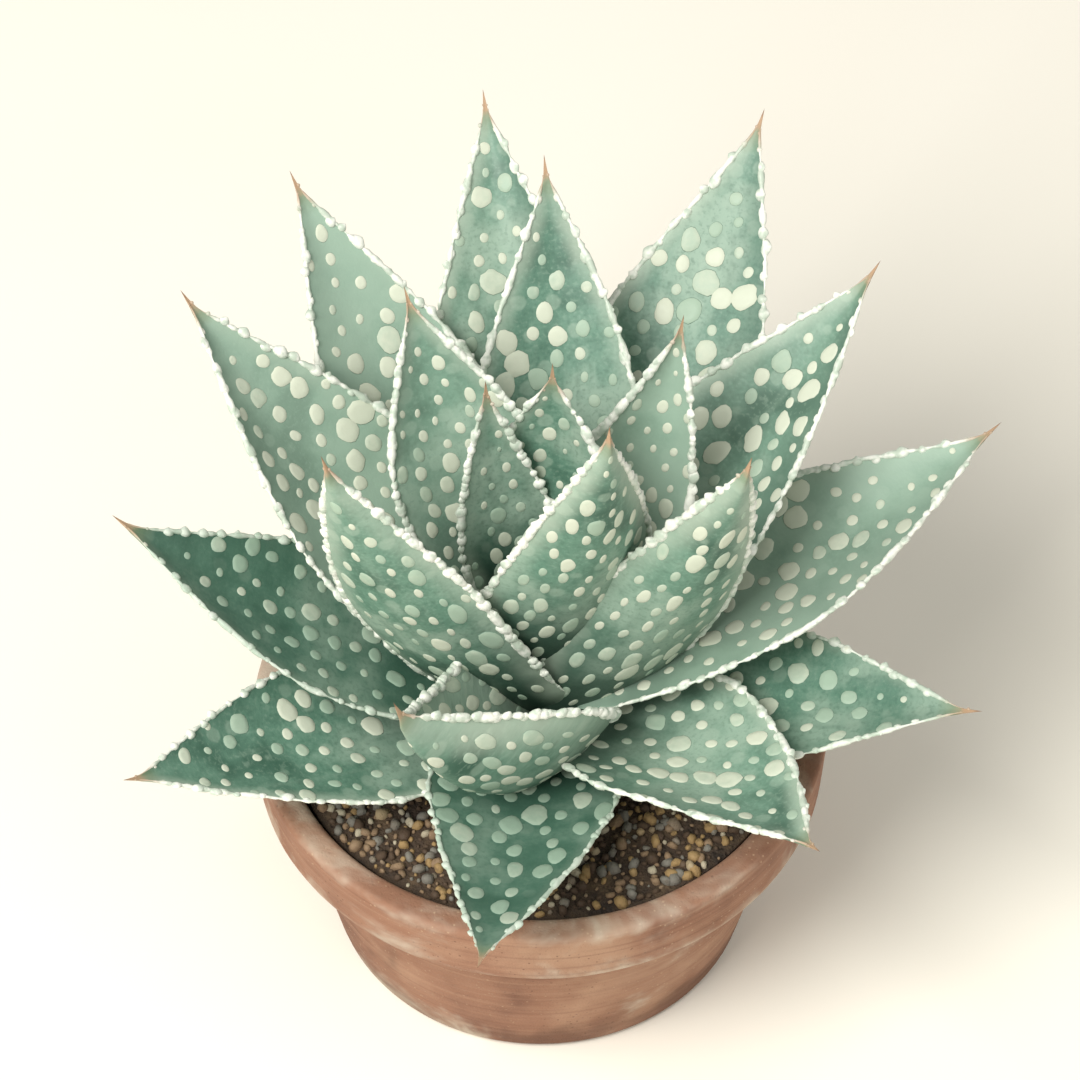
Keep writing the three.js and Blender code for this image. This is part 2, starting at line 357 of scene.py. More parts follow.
def buildSkinMaterial():
    material, tree, shader = newMaterial(
        "fleshyLeafSkin", **{"Coat Weight": 0.1, "Coat Roughness": 0.4, "IOR": 1.42})
    tone = leafTones
    blade = meshValue(tree, "bladePlace", True)  # millimetres across, along, and which face
    across, along, face = split(blade)
    leafNumber, leafShade, darkSide = split(meshValue(tree, "leafTraits", True))
    tipLeft = meshValue(tree, "tipLeft")
    marginGap = meshValue(tree, "marginGap")
    runShare = meshValue(tree, "runShare")
    band = meshValue(tree, "highlightBand")
    side = ease(face, -0.1, 0.1)
    place = joined(tree, across, along, leafNumber * 37.0 + side * 11.0)
    washed = wash(tree, place, scale=0.036, spread=0.15, lean=0.5,
                  dark=tone["shade"], middle=tone["body"], light=tone["pale"])
    cloud = washed["Mask"]
    streaks = noise(joined(tree, across * 0.3, along * 0.035, leafNumber * 5.0), 1.0, 2.0, 0.5)
    ragged = noise(place, 0.45, 2.0)
    fine = noise(place, 1.1, 2.0)
    ghost = step(tree, "ShaderNodeTexVoronoi", {
        "Vector": place + (1.7, 4.1, 0.0), "Scale": 0.15, "Randomness": 0.85})
    # painted shade: one half of the leaf, chosen per leaf, is darkened across its width as if lit
    # from the other side
    shadedSideMask = across / (size(across) + marginGap + 0.1) * darkSide + (cloud - 0.5) * 0.9
    # painted highlight: a pale band along the margin of the lit half, its width set per leaf
    litEdge = ease(shadedSideMask, 0.2, -0.1) * ease(marginGap + (cloud - 0.5) * 6.0, 0.1, band, 0.66, 0.0)
    patchy = ease(cloud, 0.62, 0.36, 0.55, 1.0)
    fromTip = tipLeft + ragged * 3.0
    tan = ease(fromTip, 8.6, 5.2)
    colour = layered(
        tree, washed["Colour"],
        (ease(streaks, 0.5, 0.72, 0.0, 0.24), tone["shade"]),
        (ease(streaks, 0.46, 0.28, 0.0, 0.24), tone["pale"]),
        (ease(ragged, 0.48, 0.7, 0.0, 0.2), tone["shade"]),
        (ease(fine, 0.5, 0.72, 0.0, 0.3), tone["shade"]),
        (ease(fine, 0.48, 0.3, 0.0, 0.28), tone["pale"]),
        (ease(ghost + ragged * 0.14, 0.38, 0.29, 0.0, 0.42), tone["ghostSpot"]),
        # darker towards the base: partly a deeper green, partly painted shade deep in the rosette
        (ease(runShare + (cloud - 0.5) * 0.4, 0.05, 0.5, 0.94, 0.0), tone["deep"]),
        # painted shade over the chosen half of the leaf
        (ease(shadedSideMask, 0.12, 0.75, 0.0, 0.72), tone["shade"]),
        (litEdge, tone["edge"]),
        # per-leaf tone: older leaves a darker green, partly painted shade; below zero it is painted
        # light
        (ease(leafShade, 0.0, 1.0) * patchy, tone["shade"]),
        (ease(leafShade, 0.0, -1.0) * (1.6 - patchy), tone["pale"]),
        (ease(fromTip, 13.0, 7.5) * 0.6, tone["olive"]),
        (tan, tone["tipTan"]),
        (ease(fromTip, 3.6, 1.8, 0.0, 0.8), tone["tipBrown"]))
    feed(tree, shader.inputs["Base Color"], colour)
    feed(tree, shader.inputs["Roughness"], ease(cloud, 0.3, 0.7, 0.42, 0.6) + tan * 0.2)
    bump(tree, shader, fine, 0.12 * mm, 0.4)
    return material


def buildSpotMaterial():
    material, tree, shader = newMaterial("raisedCreamSpot", IOR=1.42)
    tone = leafTones
    spotTone = meshValue(tree, "spotTone")
    spotEdge = meshValue(tree, "spotEdge")
    leafShade = split(meshValue(tree, "leafTraits", True))[1]
    mottle = noise(objectPlace(tree), 420.0, 2.0, 0.6)
    # partly painted shade and light: spots dim and darken on darker-toned leaves and turn paler on
    # lightened ones
    tint = spotTone + (mottle - 0.5) * 0.5 - leafShade * 0.5
    ring = ease(spotEdge + (mottle - 0.5) * 0.2, 0.72, 1.02, 0.0, 0.9)
    colour = layered(
        tree, tone["spotMint"], (ease(tint, 0.1, 0.75), tone["spotCream"]),
        (ease(leafShade, 0.2, 1.0, 0.0, 0.3), tone["spotRing"]), (ring, tone["spotRing"]))
    feed(tree, shader.inputs["Base Color"], colour)
    feed(tree, shader.inputs["Roughness"], ease(mottle, 0.3, 0.7, 0.45, 0.65))
    bump(tree, shader, mottle, 0.15 * mm, 0.4)
    return material


def buildRimMaterial():
    material, tree, shader = newMaterial("hornyWhiteRim", IOR=1.46)
    tone = leafTones
    mottle = noise(objectPlace(tree), 330.0, 2.0, 0.6)
    leafShade = split(meshValue(tree, "leafTraits", True))[1]
    colour = layered(
        tree, tone["rimGrey"], (ease(mottle, 0.36, 0.6), tone["rimWhite"]),
        (ease(mottle, 0.66, 0.8, 0.0, 0.35), tone["rimOchre"]),
        # partly painted shade: rims of darker-toned leaves turn greyer
        (ease(leafShade, 0.1, 1.0, 0.0, 0.6), tone["ghostSpot"]),
        (ease(meshValue(tree, "tipLeft"), 11.0, 5.5, 0.0, 0.85), tone["tipTan"]))
    feed(tree, shader.inputs["Base Color"], colour)
    feed(tree, shader.inputs["Roughness"], ease(mottle, 0.3, 0.7, 0.38, 0.58))
    bump(tree, shader, mottle, 0.2 * mm, 0.5)
    return material


leafSkin = buildSkinMaterial()
leafSpot = buildSpotMaterial()
leafRim = buildRimMaterial()

leafShape = {  # degrees and millimetres; each leaf changes what it needs
    "At": 90.0, "Lean": 0.0, "Height": 80.0, "Rise": 40.0, "Arch": 16.0,
    "Length": 110.0, "Width": 38.0, "Thickness": 5.0, "Base Share": 0.5,
    "Hollow Base": 0.12, "Hollow Tip": 0.3, "Widest": 0.4, "Sweep": 0.0, "Roll": 0.0,
    "Seed": 1,
}
stem = {"foot": 50.0, "base": 66.0, "top": 112.0, "baseRadius": 10.0, "topRadius": 4.5}
spine = {"length": 6.0, "taper": 0.12}
heelShare = 0.22  # of the width


def roundTurn(half):  # sin(x)/x, kept away from zero
    safe = half + 0.0001
    return sine(safe) / safe


def buildSectionGroup():  # one point of a leaf's skin from its place along and around
    tree, field, end = newTree(
        "GeometryNodeTree", "leafSection", {"Along": 0.0, "Around": 0.0, **leafShape},
        {"Point": "NodeSocketVector", "Outward": "NodeSocketVector",
         "Forward": "NodeSocketVector", "Blade Place": "NodeSocketVector",
         "Tip Left": "NodeSocketFloat", "Margin Gap": "NodeSocketFloat",
         "Run Share": "NodeSocketFloat"})
    along = field["Along"]
    length, width = field["Length"], field["Width"]
    at = radians(field["At"])
    foot = joined(tree, cosine(at), sine(at), 0.0)

    slope = radians(field["Rise"] + field["Arch"] * (along - 0.5))
    heading = radians(field["At"] + field["Lean"] + field["Sweep"] * (along - 0.5))
    forward = joined(tree, cosine(slope) * cosine(heading), cosine(slope) * sine(heading),
                     sine(slope))
    midSlope = radians(field["Rise"] + field["Arch"] * (along * 0.5 - 0.5))
    midHeading = radians(field["At"] + field["Lean"] + field["Sweep"] * (along * 0.5 - 0.5))
    halfArch = radians(field["Arch"]) * along * 0.5
    halfSweep = radians(field["Sweep"]) * along * 0.5
    plus = roundTurn(halfArch + halfSweep)
    minus = roundTurn(halfArch - halfSweep)
    reach = joined(
        tree,
        (cosine(midSlope + midHeading) * plus + cosine(midSlope - midHeading) * minus) * 0.5,
        (sine(midSlope + midHeading) * plus - sine(midSlope - midHeading) * minus) * 0.5,
        sine(midSlope) * roundTurn(halfArch))
    climb = step(tree, "ShaderNodeClamp", {
        "Value": (field["Height"] - stem["base"]) / (stem["top"] - stem["base"])})
    stemRadius = climb * (stem["topRadius"] - stem["baseRadius"]) + stem["baseRadius"]
    start = foot * (stemRadius - 1.0) + joined(tree, 0.0, 0.0, field["Height"])
    centre = start + reach * (length * along)

    raw = foot * (sine(slope) * -1.0) + joined(tree, 0.0, 0.0, cosine(slope))
    up = unit(raw - forward * maths(tree, "DOT_PRODUCT", raw, forward))
    side = maths(tree, "CROSS_PRODUCT", up, forward)
    roll = radians(field["Roll"])
    up, side = [step(tree, "ShaderNodeVectorRotate",
                     {"Vector": arrow, "Axis": forward, "Angle": roll}) for arrow in (up, side)]

    run = length * along
    left = length - run
    heel = maths(tree, "MINIMUM", (run + 1.0) / (width * heelShare + 1.0), 1.0)
    rounding = root(1.0 - (1.0 - heel) * (1.0 - heel))
    share = maths(tree, "MINIMUM", run / (length - spine["length"] * 0.8), 1.0)
    widest = field["Widest"]
    swelling = blend(field["Base Share"], 1.0, sine(share / widest * (math.pi / 2)))
    past = maths(tree, "MAXIMUM", (share - widest) / (1.0 - widest), 0.0)
    narrowing = maths(tree, "MAXIMUM", 1.0 - past ** 1.5, 0.0) ** 1.1
    isPast = maths(tree, "GREATER_THAN", share, widest)
    ripple = noise(joined(tree, run, 0.0, field["Seed"] * 9.1), 0.11, 2.0, 0.5)
    blade = width * 0.5 * blend(swelling, narrowing, isPast) * (ripple * 0.1 + 0.95)
    halfWidth = root((blade * rounding) ** 2.0 + (left * spine["taper"]) ** 2.0)
    thickness = maths(tree, "MINIMUM",
                      field["Thickness"] * (1.0 - along * 0.75) * (rounding * 0.5 + 0.5),
                      halfWidth * 1.8)
    hollow = blend(field["Hollow Base"], field["Hollow Tip"], along)

    across, over = cosine(field["Around"]), sine(field["Around"])
    x = halfWidth * across / root(hollow * hollow * 0.5 + 1.0)
    dish = hollow * halfWidth * size(across) ** 1.7
    isOver = maths(tree, "GREATER_THAN", over, 0.0)
    belly = blend(size(over) ** 1.3 * -0.8, over * 0.2, isOver) * thickness
    waves = noise(joined(tree, x, run, field["Seed"] * 3.7), 0.06, 3.0, 0.5) - 0.5
    lift = waves * 1.6 * maths(tree, "MINIMUM", halfWidth / 14.0, 1.0)
    point = centre + side * x + up * (dish + belly + lift)
    outward = unit(side * across + up * (hollow * 1.7 * size(across)))
    for label, value in (
            ("Point", point * mm), ("Outward", outward), ("Forward", forward),
            ("Blade Place", joined(tree, x, run, over)), ("Tip Left", left),
            ("Margin Gap", halfWidth * (1.0 - size(across))), ("Run Share", along)):
        feed(tree, end.inputs[label], value)
    return tree


leafSection = buildSectionGroup()

leafDetail = {  # millimetres and counts
    "Rings": 104, "Ring Points": 44, "Spot Gap": 4.9, "Spot Radius": 2.35,
    "Spot Height": 0.2, "Rim Radius": 0.6, "Bead Gap": 4.6, "Bead Radius": 0.95,
    "Shade": 0.0, "Dark Side": 0.0, "Highlight Band": 3.6, "Inner Band": 1.0, "Spot Stretch": 1.2,
    "Skin": leafSkin, "Spot": leafSpot, "Rim": leafRim,
}
spotSides = 16
beadSides = 8
spotFree = {"margin": 1.6, "tip": 9.0, "base": 0.07}  # millimetres, millimetres, share of length
rimLine = {"points": 150, "sides": 8, "start": 0.05, "tipGap": 4.6, "inset": 0.12, "jog": 0.28}


def spotPad(tree):  # a flat closed lens, its edge at radius 1; it is wrapped on the skin later
    disc = step(tree, "GeometryNodeMeshCylinder", {
        "Vertices": spotSides, "Side Segments": 3, "Radius": 1.0, "Depth": 1.0},
        fill_type="NGON")
    ring = whole(step(tree, "GeometryNodeInputIndex") / spotSides)
    tilt = radians(ring * 38.0 + 26.0)
    corner = split(step(tree, "GeometryNodeInputPosition"))
    spread = sine(tilt)
    disc = store(tree, disc, "spotEdge", tilt / (math.pi / 2))
    disc = store(tree, disc, "spotRise", cosine(tilt))
    return move(tree, disc, joined(tree, corner[0] * spread, corner[1] * spread, 0.0))


def beadBlob(tree):  # a blunt bead, pointed a little on the +Z side
    ball = step(tree, "GeometryNodeMeshUVSphere",
                {"Segments": beadSides, "Rings": 6, "Radius": 1.0})
    x, y, z = split(step(tree, "GeometryNodeInputPosition"))
    nose = maths(tree, "MAXIMUM", z, 0.0)
    narrow = 1.0 - nose * nose * 0.45
    return move(tree, ball, joined(tree, x * narrow, y * narrow, z + nose * nose * 0.35))


def spotsOn(tree, field, skin, facing, seedShift):
    over = split(stored(tree, "bladePlace", True))[2]
    half = step(tree, "GeometryNodeSeparateGeometry", {
        "Geometry": skin, "Selection": maths(tree, "GREATER_THAN", over * facing, 0.0)},
        domain="FACE")
    clear = maths(tree, "GREATER_THAN", stored(tree, "marginGap"), spotFree["margin"])
    clear = clear * maths(tree, "GREATER_THAN", stored(tree, "tipLeft"), spotFree["tip"])
    clear = clear * maths(tree, "GREATER_THAN", stored(tree, "runShare"), spotFree["base"])
    gap = field["Spot Gap"] * mm
    points, normal = scatterOn(tree, half, gap, 4.0, clear, field["Seed"] + seedShift)
    return store(tree, points, "spotNormal", normal)


def buildLeafTree():
    tree, field, end = newTree("GeometryNodeTree", "spottedLeaf", {**leafShape, **leafDetail},
                               {"Geometry": "NodeSocketGeometry"})
    seed = field["Seed"]

    def section(along, around):
        shape = {label: field[label] for label in leafShape}
        return useGroup(tree, leafSection, "GeometryNodeGroup",
                        {"Along": along, "Around": around, **shape})

    index = step(tree, "GeometryNodeInputIndex")
    tube = step(tree, "GeometryNodeMeshCylinder", {
        "Vertices": field["Ring Points"], "Side Segments": field["Rings"] - 1},
        fill_type="NGON")
    ring = whole(index / field["Ring Points"])
    onRing = index - ring * field["Ring Points"]
    fromTip = ring / (field["Rings"] - 1.0)
    made = section(1.0 - fromTip ** 1.15, onRing / field["Ring Points"] * (math.pi * 2))
    for name, label in (("bladePlace", "Blade Place"), ("tipLeft", "Tip Left"),
                        ("marginGap", "Margin Gap"), ("runShare", "Run Share")):
        tube = store(tree, tube, name, made[label])
    leafNumber = maths(tree, "FRACT", seed * 0.618)
    traits = joined(tree, leafNumber, field["Shade"], field["Dark Side"])
    # the leaf's traits also say which half of it gets painted shade
    tube = store(tree, tube, "leafTraits", traits)
    # width of the painted highlight band along the margins, wider on the inner face where set
    isInner = maths(tree, "GREATER_THAN", split(made["Blade Place"])[2], 0.0)
    band = field["Highlight Band"] * blend(1.0, field["Inner Band"], isInner)
    tube = store(tree, tube, "highlightBand", band)
    tube = store(tree, tube, "growth", made["Forward"])
    tube = move(tree, tube, made["Point"])
    skin = step(tree, "GeometryNodeMergeByDistance", {"Geometry": tube, "Distance": 0.01 * mm})

    # spots: lenses of uneven size wrapped on the skin
    points = joinAll(tree, [spotsOn(tree, field, skin, 1.0, 0),
                            spotsOn(tree, field, skin, -1.0, 50)])
    luck = chance(tree, 0.0, 1.0, seed + 7)
    reach = ease(stored(tree, "tipLeft"), 6.0, 42.0, 0.62, 1.0)
    radius = field["Spot Radius"] * mm * (luck * luck * 0.72 + 0.5) * reach
    points = store(tree, points, "spotTone", chance(tree, 0.0, 1.0, seed + 9))
    points = store(tree, points, "spotRadius", radius)
    points = store(tree, points, "spotCentre", step(tree, "GeometryNodeInputPosition"))
    turned = step(tree, "FunctionNodeAlignRotationToVector",
                  {"Vector": stored(tree, "spotNormal", True)}, axis="Z")
    oval = chance(tree, 0.85, 1.2, seed + 11)
    pads = step(tree, "GeometryNodeInstanceOnPoints", {
        "Points": points, "Instance": spotPad(tree), "Rotation": turned,
        "Scale": joined(tree, radius * oval, radius, radius)})
    pads = step(tree, "GeometryNodeRealizeInstances", {"Geometry": pads})
    here = step(tree, "GeometryNodeInputPosition")
    centre = stored(tree, "spotCentre", True)
    uneven = noise(here + seed * 0.37, 290.0, 1.0) * 0.9 + 0.55
    growth = unit(stored(tree, "growth", True))
    longer = maths(tree, "DOT_PRODUCT", here - centre, growth) * (field["Spot Stretch"] - 1.0)
    pads = move(tree, pads, centre + (here - centre + growth * longer) * uneven)
    onSkin = step(tree, "GeometryNodeProximity", {0: skin}, target_element="FACES")
    rise = stored(tree, "spotRise") * field["Spot Height"] * mm
    rise = rise * ease(stored(tree, "spotRadius"), 0.8 * mm, 2.4 * mm, 0.6, 1.1)
    pads = move(tree, pads, onSkin + stored(tree, "spotNormal", True) * rise)
    pads = coated(tree, pads, field["Spot"])

    # rims: a lumpy cord along each margin with beads on it
    rims = []
    for turn, shift in ((0.0, 0), (math.pi, 31)):
        line = step(tree, "GeometryNodeMeshLine", {"Count": rimLine["points"]})
        share = index / (rimLine["points"] - 1.0)
        last = 1.0 - rimLine["tipGap"] / field["Length"]
        edge = section(blend(rimLine["start"], last, share), turn)
        for name, label in (("outward", "Outward"), ("forward", "Forward"),
                            ("tipLeft", "Tip Left"), ("runShare", "Run Share")):
            line = store(tree, line, name, edge[label])
        line = move(tree, line, edge["Point"])
        margin = step(tree, "GeometryNodeMeshToCurve", {"Mesh": line})
        spot = step(tree, "GeometryNodeInputPosition")
        lumps = ease(noise(spot + seed * 0.61, 260.0, 2.0, 0.6), 0.3, 0.68, 0.3, 1.55)
        fade = ease(stored(tree, "tipLeft"), 4.5, 16.0, 0.28, 1.0)
        fade = fade * ease(stored(tree, "runShare"), 0.05, 0.2, 0.3, 1.0)
        profile = step(tree, "GeometryNodeCurvePrimitiveCircle", {
            "Resolution": rimLine["sides"], "Radius": field["Rim Radius"] * mm})
        rims.append(step(tree, "GeometryNodeCurveToMesh", {
            "Curve": margin, "Profile Curve": profile, "Scale": lumps * fade,
            "Fill Caps": True}))
        knots = step(tree, "GeometryNodeCurveToPoints",
                     {"Curve": margin, "Length": field["Bead Gap"] * mm}, mode="LENGTH")
        forward, outward = stored(tree, "forward", True), stored(tree, "outward", True)
        jog = chance(tree, -rimLine["jog"], rimLine["jog"], seed + shift + 3)
        jog = jog * field["Bead Gap"] * mm
        knots = move(tree, knots, offset=forward * jog - outward * (rimLine["inset"] * mm))
        pointing = step(tree, "FunctionNodeAlignRotationToVector",
                        {"Vector": outward + forward * 0.35}, axis="Z")
        pointing = step(tree, "FunctionNodeAlignRotationToVector", {
            "Rotation": pointing, "Vector": forward}, axis="Y", pivot_axis="Z")
        bead = field["Bead Radius"] * mm * chance(tree, 0.62, 1.15, seed + shift + 5) * fade
        long = bead * chance(tree, 1.35, 2.1, seed + shift + 8)
        beads = step(tree, "GeometryNodeInstanceOnPoints", {
            "Points": knots, "Instance": beadBlob(tree), "Rotation": pointing,
            "Scale": joined(tree, bead * 0.95, long, bead * 1.1)})
        rims.append(step(tree, "GeometryNodeRealizeInstances", {"Geometry": beads}))
    rim = store(tree, joinAll(tree, rims), "leafTraits", traits)
    rim = coated(tree, rim, field["Rim"])
    skin = coated(tree, skin, field["Skin"])
    return finished(tree, end, joinAll(tree, [skin, pads, rim]))


spottedLeaf = buildLeafTree()

heart = {"Spot Gap": 4.1, "Spot Radius": 1.75, "Bead Gap": 3.1, "Bead Radius": 1.02,
         "Rim Radius": 0.72, "Highlight Band": 5.0, "Spot Stretch": 1.35}
middle = {"Spot Gap": 4.8, "Spot Radius": 1.95, "Bead Gap": 3.4, "Bead Radius": 1.12,
          "Rim Radius": 0.8, "Highlight Band": 6.5, "Spot Stretch": 1.6}
outer = {"Highlight Band": 5.0}
lower = {"Shade": 0.5, "Spot Stretch": 0.95, "Rim Radius": 0.48, "Bead Radius": 0.85}


def leaf(at, lean, height, rise, arch, length, width, **others):
    sizes = {"at": at, "lean": lean, "height": height, "rise": rise, "arch": arch,
             "length": length, "width": width, **others}
    return {re.sub("([A-Z])", r" \1", word).title(): float(value)  # hollowTip is Hollow Tip
            for word, value in sizes.items()}


# which ring each leaf grows in, then its own sizes; most were found by a search against read-off
# outlines, then rounded
# shade per leaf is partly older leaves' darker green and partly painted shade; below zero it is
# painted light
leaves = {
    1: (lower, leaf(173, 3, 75, 30, 24, 100, 37, sweep=-16, roll=-3, widest=0.47, darkSide=-0.6,
                    shade=0.75)),
    2: (lower, leaf(206, 3, 71, 18, 28, 100, 38, sweep=18, roll=-9, hollowBase=0.2,
                    darkSide=-0.4, shade=0.25)),
    3: (lower, leaf(262, 0, 71, 16, 16, 91, 39, sweep=-6, widest=0.31, shade=0.95,
                   spotStretch=1.3)),
    4: (outer, leaf(312, -1, 73, 19, 18, 88, 44, sweep=-23, roll=-6, hollowBase=0.3,
                    widest=0.37, darkSide=-0.45, shade=-0.3)),
    5: (lower, leaf(350, -5, 71, 15, 12, 95, 44, sweep=-8, roll=3, widest=0.32)),
    6: (outer, leaf(17, 4, 77, 22, 5, 111, 41, sweep=26, hollowBase=0.25, hollowTip=0.4,
                    widest=0.49, darkSide=-0.7, shade=-0.85, spotStretch=1.0)),
    7: (outer, leaf(36, 0, 83, 40, 19, 112, 43, sweep=2, roll=2, hollowBase=0.24, widest=0.36,
                    darkSide=-0.8, shade=-0.35)),
    8: (outer, leaf(62, 1, 85, 35, 22, 127, 43, sweep=5, roll=3, hollowBase=0.06, hollowTip=0.2,
                    widest=0.44, darkSide=-0.5, shade=0.12)),
    9: (outer, leaf(86, 4, 87, 46, 13, 105, 34, sweep=17, roll=6, hollowBase=0.2, widest=0.47,
                    shade=0.2)),
    10: (outer, leaf(98, -1, 79, 39, 3, 125, 34, sweep=6, roll=-9, hollowTip=0.4, widest=0.5,
                     darkSide=-0.6, shade=-0.2)),
    11: (outer, leaf(125, 1, 81, 42, 17, 118, 39, sweep=3, widest=0.45, darkSide=0.7,
                     shade=-0.95)),
    12: (outer, leaf(151, 1, 78, 45, 15, 115, 38, sweep=-8, roll=-7, hollowTip=0.45,
                     widest=0.48, darkSide=0.7, shade=-0.9)),
    13: (middle, leaf(234, -39, 76, 66, 23, 108, 29, sweep=-30, roll=25, hollowBase=0.02,
                      widest=0.48)),
    14: (heart, leaf(127, -1, 93, 57, 20, 82, 32, roll=-20, hollowBase=0.08, hollowTip=0.55,
                     widest=0.5, shade=-0.4)),
    15: (heart, leaf(132, 3, 101, 79, 20, 63, 20, roll=-24, widest=0.28)),
    16: (heart, leaf(81, -1, 105, 78, 24, 60, 32, sweep=-4, hollowTip=0.4)),
    17: (heart, leaf(296, 15, 91, 79, 16, 94, 37, sweep=-6, roll=-2, hollowBase=0.26,
                     hollowTip=0.45, widest=0.3, spotGap=4.6, spotRadius=1.85,
                     spotStretch=1.65)),
    18: (heart, leaf(45, 2, 93, 60, 38, 80, 27, sweep=6, roll=33, hollowBase=0.03,
                     hollowTip=0.6, shade=-0.8)),
    19: (middle, leaf(309, 39, 73, 67, 25, 104, 32, sweep=-9, roll=-29, hollowBase=0.07,
                      hollowTip=0.5, shade=-0.2)),
    20: (middle, leaf(281, -57, 69, 47, 56, 85, 40, sweep=-78, roll=-24, thickness=8,
                      hollowBase=1.05, hollowTip=1.05, baseShare=0.32, widest=0.41,
                      innerBand=3.0, shade=-0.15)),
    21: (lower, leaf(36, 0, 72, 8, 14, 84, 34)),
    22: (lower, leaf(69, 0, 73, 28, 16, 84, 36, widest=0.47)),
    23: (lower, leaf(105, 0, 72, 15, 14, 84, 36)),
    24: (lower, leaf(133, 0, 71, 9, 16, 84, 34)),
}

for number, (ringStyle, ownSizes) in leaves.items():
    name = f"spottedLeaf{number:02d}"
    values = {**leafShape, **leafDetail, **ringStyle, **ownSizes, "Seed": 100 + number}
    piece = runTree(spottedLeaf, name, values)
    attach(piece, "root")
    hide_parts(f"leaf_{number:02d}")
    print(name, len(piece.data.polygons), "faces")


def softProfile(corners, spacing=1.1):  # (radius, height, rounding) corners as close points
    points = []
    for i, (radius, height, rounding) in enumerate(corners):
        here = Vector((radius, height))
        before = Vector(corners[i - 1][:2]) if i else None
        after = Vector(corners[i + 1][:2]) if i + 1 < len(corners) else None
        if rounding and before is not None and after is not None:
            into = here + (before - here).normalized() * rounding
            out = here + (after - here).normalized() * rounding
            bend = [into.lerp(here, t / 5).lerp(here.lerp(out, t / 5), t / 5) for t in range(6)]
        else:
            bend = [here]
        if points:
            count = int((bend[0] - points[-1]).length / spacing)
            points += [points[-1].lerp(bend[0], (n + 1) / (count + 1)) for n in range(count)]
        points += bend
    return points


def profileMesh(name, points):
    mesh = bpy.data.meshes.new(name)
    places = [(point.x * mm, 0.0, point.y * mm) for point in points]
    mesh.from_pydata(places, [(i, i + 1) for i in range(len(places) - 1)], [])
    return mesh


def buildTurnedGroup():  # a profile turned round Z, with ridges left by turning and soft waves
    tree, field, end = newTree("GeometryNodeTree", "turnedSkin", {
        "Profile": None, "Sides": 96, "Ridge Pitch": 2.4, "Ridge Height": 0.1,
        "Wave Height": 0.2, "Wave Size": 30.0, "Lowest": 2.0, "Seed": 1},
        {"Geometry": "NodeSocketGeometry"})
    counted = step(tree, "GeometryNodeAttributeDomainSize", {"Geometry": field["Profile"]})
    grid = step(tree, "GeometryNodeMeshGrid", {
        "Vertices X": field["Sides"] + 1, "Vertices Y": counted})
    index = step(tree, "GeometryNodeInputIndex")
    column = whole(index / counted)
    row = index - column * counted
    position = step(tree, "GeometryNodeInputPosition")

    def profileAt(number):
        sample = tree.nodes.new("GeometryNodeSampleIndex")
        sample.data_type = "FLOAT_VECTOR"
        sample.clamp = True
        for label, value in (("Geometry", field["Profile"]), ("Value", position),
                             ("Index", number)):
            feed(tree, sample.inputs[label], value)
        return Field(tree, sample.outputs[0])

    here = profileAt(row)
    ahead = split(profileAt(row + 1) - profileAt(row - 1))
    radius, height = split(here)[::2]
    turn = column / field["Sides"] * (math.pi * 2)
    outward = joined(tree, cosine(turn), sine(turn), 0.0)
    normal = unit(outward * ahead[2] + joined(tree, 0.0, 0.0, ahead[0] * -1.0))
    place = outward * radius + joined(tree, 0.0, 0.0, height)
    seeded = place + joined(tree, 0.0, 0.0, field["Seed"] * 3.3)
    drift = noise(seeded, 22.0, 2.0) * 7.0
    uneven = noise(seeded, 90.0, 2.0)
    ridges = sine(height / (field["Ridge Pitch"] * mm) * (math.pi * 2) + drift)
    ridges = ridges * field["Ridge Height"] * (uneven + 0.5)
    waves = (noise(seeded, 1000.0 / field["Wave Size"], 3.0) - 0.5) * field["Wave Height"] * 2.0
    low = field["Lowest"] * mm
    clear = ease(height, low, low + 2.0 * mm)
    skin = move(tree, grid, place + normal * ((ridges + waves) * clear * mm))
    skin = step(tree, "GeometryNodeMergeByDistance", {"Geometry": skin, "Distance": 0.004 * mm})
    feed(tree, end.inputs["Geometry"], skin)
    return tree


turnedSkin = buildTurnedGroup()


def turnedFrom(tree, field):  # the turned skin with the tree's own inputs of the same names
    labels = ("Profile", "Sides", "Ridge Pitch", "Ridge Height", "Wave Height", "Wave Size",
              "Lowest", "Seed")
    return useGroup(tree, turnedSkin, "GeometryNodeGroup",
                    {label: field[label] for label in labels})["Geometry"]


pan = {  # millimetres
    "height": 65.0, "footRadius": 46.0, "footEdge": 1.5, "wallUnderCollar": 57.5,
    "collarBottom": 49.0, "collarRadius": 64.0, "rimRadius": 65.0, "mouthRadius": 58.5,
    "floorThickness": 6.0, "floorRadius": 43.5, "drainRadius": 4.5, "drainCircle": 22.0,
    "drainTurn": 30.0,
}
clayTones = palette(dark="6F4A39", middle="956C55", light="AF8A70", bloom="C9BDAB",
                    damp="553A2C", grog="5E3D2E", sand="BFA183")


